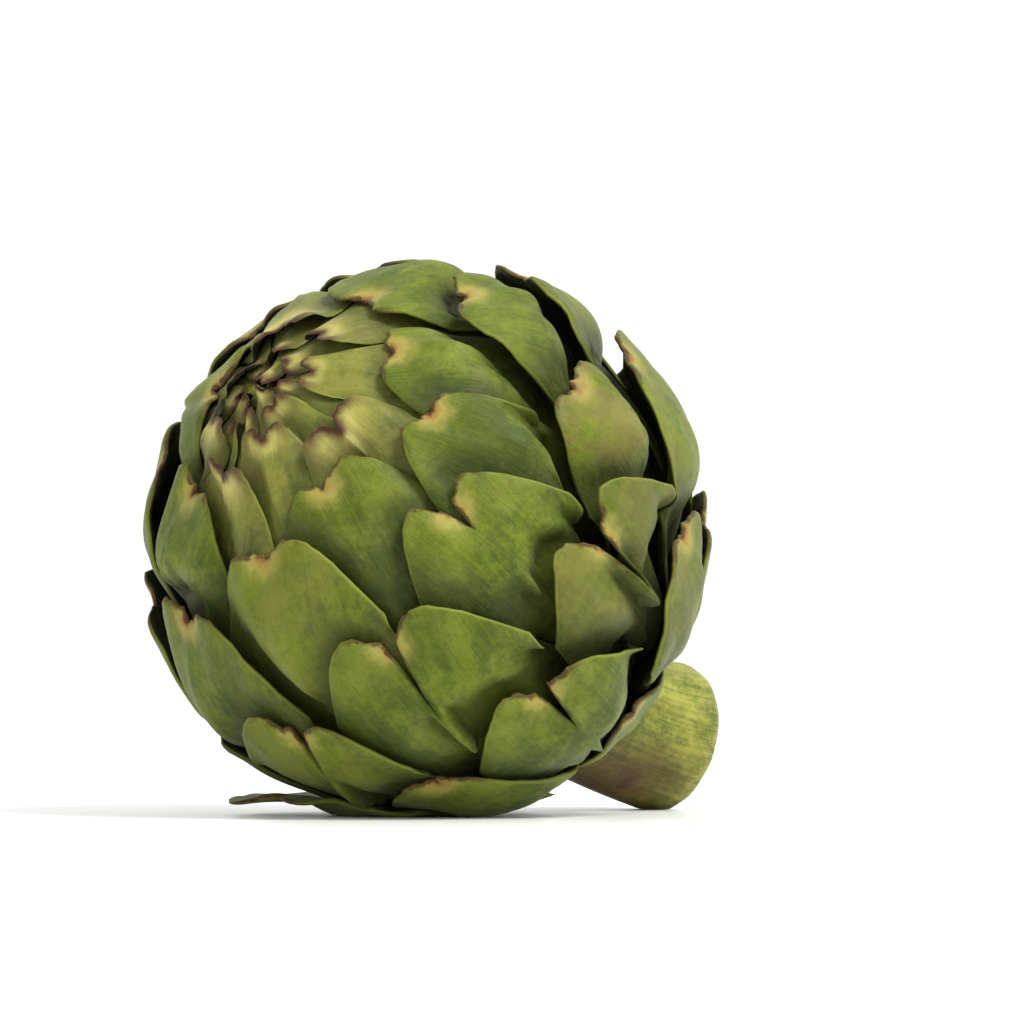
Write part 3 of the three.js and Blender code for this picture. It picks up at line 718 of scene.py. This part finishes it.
def skin_group():
    """Leaf skin: mottled green with lengthwise streaks, veins, flecks and a pale bloom; lighter
    toward the tip; a yellow patch with a rust scar below the notch; tan and rust blemishes; a
    pale rim that turns brown on the lobes; painted shade where covered; and painted shade that
    makes the inner side dark."""
    group = bpy.data.node_groups.new("leaf_skin", "ShaderNodeTree")
    face = group.interface
    for name, value in (
        ("Dark Green", (0.035, 0.058, 0.004, 1)),
        ("Light Green", (0.118, 0.155, 0.008, 1)),
        ("Bloom", (0.21, 0.235, 0.035, 1)),
        ("Yellow", (0.42, 0.35, 0.085, 1)),
    ):
        face.new_socket(name, in_out="INPUT", socket_type="NodeSocketColor").default_value = value
    for name, value in (
        ("Browned Rim", 0.85),
        ("Brown Width", 0.9),
        ("Scar Size", 1.0),
        ("Yellow Reach", 6.5),
        ("Shade Where Covered", 0.6),
    ):
        face.new_socket(name, in_out="INPUT", socket_type="NodeSocketFloat").default_value = value
    face.new_socket("Color", in_out="OUTPUT", socket_type="NodeSocketColor")
    face.new_socket("Roughness", in_out="OUTPUT", socket_type="NodeSocketFloat")
    face.new_socket("Height", in_out="OUTPUT", socket_type="NodeSocketFloat")
    t = Tree(group)
    given = t.node("NodeGroupInput").outputs
    place = t.attribute("leaf_place", "Vector")
    rim = t.attribute("rim")
    notch = t.attribute("notch")
    tone = t.attribute("tone")
    around = t.node("ShaderNodeTexCoord").outputs["Object"]

    patches = t.noise(around, 55.0, 4.0)
    streaks = t.noise(t.stretched(place, (0.7, 0.07, 1.0)), 1.0, 4.0, 0.6)
    fine = t.noise(t.stretched(place, (2.6, 0.14, 1.0)), 1.0, 3.0, 0.6)
    blotches = t.noise(around, 210.0, 4.0, 0.65)
    mottle = t.noise(around, 620.0, 3.0, 0.7)
    speckle = t.noise(around, 1600.0, 2.0)
    own_tone = t.math("SUBTRACT", tone, 0.5)
    shade = t.weighted(
        (patches, 0.38), (streaks, 0.16), (blotches, 0.26), (mottle, 0.2), (own_tone, 0.12)
    )
    color = t.mix(t.step(shade, 0.41, 0.59), given["Dark Green"], given["Light Green"])
    dusting = t.step(t.noise(around, 80.0, 6.0, 0.7), 0.45, 0.72)
    color = t.mix(t.math("MULTIPLY", dusting, 0.55), color, given["Bloom"])
    down = t.node("ShaderNodeSeparateXYZ")
    t.feed(down.inputs[0], place)
    tipward = t.math("MULTIPLY", t.step(down.outputs["Y"], 22.0, 0.0), 0.35)
    color = t.mix(tipward, color, given["Light Green"])
    veins = t.math("MULTIPLY", t.step(fine, 0.48, 0.7), 0.2)
    color = t.mix(veins, color, given["Bloom"])
    flecks = t.noise(t.stretched(place, (1.9, 0.8, 1.0)), 1.0, 3.0, 0.7)
    dull = t.math("MULTIPLY", t.step(flecks, 0.57, 0.7), 0.6)
    color = t.mix(dull, color, given["Dark Green"])

    ragged = t.math("MULTIPLY", t.math("SUBTRACT", t.noise(around, 420.0, 4.0), 0.5), 5.0)
    from_notch = t.math("ADD", notch, ragged)
    yellow = t.step(from_notch, given["Yellow Reach"], 0.5)
    color = t.mix(t.math("MULTIPLY", yellow, 0.85), color, given["Yellow"])
    scar_reach = t.math("MULTIPLY", given["Scar Size"], 3.4)
    scar = t.step(from_notch, scar_reach, 0.4)
    color = t.mix(t.math("MULTIPLY", scar, 0.85), color, (0.2, 0.07, 0.015, 1))

    marked = t.attribute("blemish")
    weathered = t.math("MULTIPLY", t.step(t.noise(around, 90.0, 5.0, 0.65), 0.36, 0.6), marked)
    color = t.mix(t.math("MULTIPLY", weathered, 0.75), color, (0.17, 0.12, 0.045, 1))
    blemish = t.noise(around, 150.0, 6.0, 0.7)
    amount = t.math("SUBTRACT", 0.74, t.math("MULTIPLY", marked, 0.24))
    rust = t.step(blemish, amount, t.math("ADD", amount, 0.14))
    color = t.mix(t.math("MULTIPLY", rust, 0.6), color, (0.15, 0.05, 0.02, 1))

    pale = t.math("MULTIPLY", t.step(rim, 0.6, 0.2), 0.5)
    color = t.mix(pale, color, given["Bloom"])
    near_tip = t.step(notch, 14.0, 5.0)
    edge = t.step(t.math("ADD", rim, t.math("MULTIPLY", ragged, 0.5)), given["Brown Width"], 0.2)
    browned = t.math("MULTIPLY", t.math("MULTIPLY", edge, near_tip), given["Browned Rim"])
    color = t.mix(browned, color, (0.05, 0.017, 0.008, 1))
    # Painted shade: darker where other leaves cover the skin or lie close over it
    shaded = t.math("MULTIPLY", t.attribute("covered"), given["Shade Where Covered"])
    color = t.mix(shaded, color, (0.014, 0.02, 0.004, 1))
    # Painted shade: the leaf's inner side is coloured near black
    inner = t.math("MULTIPLY", t.attribute("under"), 0.85)
    color = t.mix(inner, color, (0.012, 0.018, 0.004, 1))

    rough = t.math("ADD", 0.4, t.math("MULTIPLY", speckle, 0.22))
    rough = t.math("ADD", rough, t.math("MULTIPLY", scar, 0.2))
    height = t.weighted((fine, 0.5), (streaks, 0.4), (mottle, 0.3), (speckle, 0.12), (rust, -0.12))
    out = t.node("NodeGroupOutput")
    t.feed(out.inputs["Color"], color)
    t.feed(out.inputs["Roughness"], rough)
    t.feed(out.inputs["Height"], height)
    return group


def leaf_material(name, group, specular, bump, **values):
    """A leaf's own colours put through the shared skin, on a soft waxy shader."""
    material = bpy.data.materials.new(name)
    material.use_nodes = True
    t = Tree(material.node_tree)
    shader = material.node_tree.nodes["Principled BSDF"]
    skin = t.node("ShaderNodeGroup", node_tree=group)
    for key, value in values.items():
        skin.inputs[key.replace("_", " ")].default_value = value
    t.feed(shader.inputs["Base Color"], skin.outputs["Color"])
    t.feed(shader.inputs["Roughness"], skin.outputs["Roughness"])
    shader.inputs["Specular IOR Level"].default_value = specular
    shader.inputs["Sheen Weight"].default_value = 0.08
    shader.inputs["Sheen Roughness"].default_value = 0.4
    shader.inputs["Sheen Tint"].default_value = (0.9, 0.95, 0.65, 1)
    relief = t.node("ShaderNodeBump")
    relief.inputs["Strength"].default_value = bump
    relief.inputs["Distance"].default_value = 0.0004
    t.feed(relief.inputs["Height"], skin.outputs["Height"])
    t.feed(shader.inputs["Normal"], relief.outputs["Normal"])
    return material


def stem_material():
    """Mottled yellow-green with lengthwise fibres, browned underneath where it leaves the globe,
    and a pale stringy cut."""
    material = bpy.data.materials.new("stem_flesh")
    material.use_nodes = True
    t = Tree(material.node_tree)
    shader = material.node_tree.nodes["Principled BSDF"]
    place = t.attribute("stem_place", "Vector")
    around = t.node("ShaderNodeTexCoord").outputs["Object"]
    cut = t.attribute("cut")
    fibres = t.noise(t.stretched(place, (1.1, 0.06, 1.0)), 1.0, 5.0, 0.65)
    patches = t.noise(around, 75.0, 5.0, 0.65)
    mottle = t.noise(around, 500.0, 4.0, 0.7)
    shade = t.weighted((fibres, 0.3), (patches, 0.45), (mottle, 0.25))
    color = t.mix(t.step(shade, 0.4, 0.6), (0.075, 0.11, 0.01, 1), (0.31, 0.31, 0.05, 1))
    height = t.node("ShaderNodeSeparateXYZ")
    t.feed(height.inputs[0], around)
    low = t.step(height.outputs["Z"], 0.02, 0.004)
    inward = t.step(height.outputs["X"], 0.062, 0.04)
    stain = t.step(t.noise(around, 110.0, 6.0, 0.7), 0.4, 0.6)
    brown = t.math("MULTIPLY", t.math("MULTIPLY", low, inward), 0.9)
    brown = t.math("ADD", brown, t.math("MULTIPLY", stain, 0.16), clamp=True)
    color = t.mix(brown, color, (0.06, 0.026, 0.008, 1))
    strings = t.noise(t.stretched(place, (1.6, 0.4, 1.0)), 1.0, 5.0, 0.7)
    pith = t.mix(t.step(strings, 0.4, 0.62), (0.2, 0.19, 0.08, 1), (0.5, 0.48, 0.3, 1))
    bared = t.math("ADD", cut, t.math("MULTIPLY", t.math("SUBTRACT", strings, 0.5), 0.9))
    color = t.mix(t.math("MULTIPLY", t.step(bared, 0.22, 0.75), 0.8), color, pith)
    t.feed(shader.inputs["Base Color"], color)
    rough = t.math("ADD", 0.45, t.math("MULTIPLY", patches, 0.15))
    t.feed(shader.inputs["Roughness"], rough)
    shader.inputs["Specular IOR Level"].default_value = 0.25
    relief = t.node("ShaderNodeBump")
    relief.inputs["Strength"].default_value = 0.5
    relief.inputs["Distance"].default_value = 0.0005
    bumps = t.math("ADD", fibres, t.math("MULTIPLY", mottle, 0.4))
    t.feed(relief.inputs["Height"], t.math("ADD", bumps, t.math("MULTIPLY", strings, 0.2)))
    t.feed(shader.inputs["Normal"], relief.outputs["Normal"])
    return material


# ================= Building the artichoke =================

def build_leaves():
    """Lays and makes every leaf from the outermost inward, and returns the last ceiling."""
    group = skin_group()
    outer = leaf_material("outer_leaf_skin", group, 0.14, 0.6)
    crown = leaf_material(
        "crown_leaf_skin",
        group,
        0.16,
        0.6,
        Dark_Green=(0.065, 0.08, 0.012, 1),
        Light_Green=(0.19, 0.2, 0.03, 1),
        Yellow=(0.62, 0.55, 0.15, 1),
        Browned_Rim=1.0,
        Brown_Width=3.2,
        Scar_Size=0.9,
        Yellow_Reach=13.0,
        Shade_Where_Covered=0.3,
    )
    chance = np.random.default_rng(11)
    ceiling = np.full((POLAR_CELLS + 1, TURN_CELLS), GLOBE_RADIUS * 2)
    grid = grid_directions()
    for number in range(LARGE_LEAVES, -SMALL_LEAVES, -1):
        leaf = leaf_plan(number, chance)
        depth, air = lay_leaf(leaf, ceiling)
        ceiling = lower_ceiling(ceiling, grid, leaf, depth)
        material = crown if leaf.small else outer
        make_leaf(leaf, depth, air, material)
    return ceiling


# ================= Floor, light and camera =================

def plain_material(name, color, roughness):
    material = bpy.data.materials.new(name)
    material.use_nodes = True
    shader = material.node_tree.nodes["Principled BSDF"]
    shader.inputs["Base Color"].default_value = color
    shader.inputs["Roughness"].default_value = roughness
    return material


def make_floor():
    """A wide pale disc at the height the artichoke rests on."""
    angle = np.linspace(0, 2 * math.pi, 96, endpoint=False)
    rim = np.stack([np.cos(angle), np.sin(angle), 0 * angle], axis=-1) * FLOOR_RADIUS
    mesh = bpy.data.meshes.new("floor")
    mesh.from_pydata(rim.tolist(), [], [list(range(len(rim)))])
    mesh.materials.append(plain_material("pale_floor", (0.96, 0.96, 0.95, 1), 0.28))
    floor = bpy.data.objects.new("floor", mesh)
    bpy.context.scene.collection.objects.link(floor)


def area_light(name, place, aim, size, watts):
    light = bpy.data.lights.new(name, "AREA")
    light.shape = "DISK"
    light.size = size
    light.energy = watts
    lamp = bpy.data.objects.new(name, light)
    lamp.location = place
    lamp.rotation_euler = (Vector(aim) - Vector(place)).to_track_quat("-Z", "Y").to_euler()
    bpy.context.scene.collection.objects.link(lamp)


def camera_axes():
    """Unit vectors from the globe to the camera, to the view's right, and up it."""
    level = math.cos(CAMERA_RISE)
    back = Vector((math.cos(CAMERA_TURN) * level, math.sin(CAMERA_TURN) * level,
                   math.sin(CAMERA_RISE)))
    right = Vector((-math.sin(CAMERA_TURN), math.cos(CAMERA_TURN), 0))
    return back, right, back.cross(right)


def make_camera():
    back, right, up = camera_axes()
    globe = Vector(GLOBE_CENTRE * METRES)
    aim = globe + right * GLOBE_LEFT_OF_CENTRE + up * GLOBE_BELOW_CENTRE
    data = bpy.data.cameras.new("camera")
    data.lens = LENS_MM
    data.sensor_width = SENSOR_MM
    data.clip_start = 0.01
    data.clip_end = 20
    camera = bpy.data.objects.new("camera", data)
    camera.location = aim + back * CAMERA_DISTANCE
    camera.rotation_euler = (-back).to_track_quat("-Z", "Y").to_euler()
    bpy.context.scene.collection.objects.link(camera)
    bpy.context.scene.camera = camera


def make_lights():
    """A soft key above and to the right of the camera, and an even white surround."""
    back, right, up = camera_axes()
    globe = Vector(GLOBE_CENTRE * METRES)
    key = globe + back * KEY_PLACE[0] + right * KEY_PLACE[1] + up * KEY_PLACE[2]
    area_light("key", key, globe, KEY_SIZE, KEY_WATTS)
    world = bpy.data.worlds.new("surround")
    world.use_nodes = True
    sky = world.node_tree.nodes["Background"]
    sky.inputs["Color"].default_value = (1, 1, 1, 1)
    sky.inputs["Strength"].default_value = SURROUND_STRENGTH
    bpy.context.scene.world = world
    bpy.context.scene.view_settings.view_transform = "Standard"


last_ceiling = build_leaves()
make_stem(last_ceiling, stem_material())
make_floor()
make_camera()
make_lights()

bpy.context.view_layer.update()
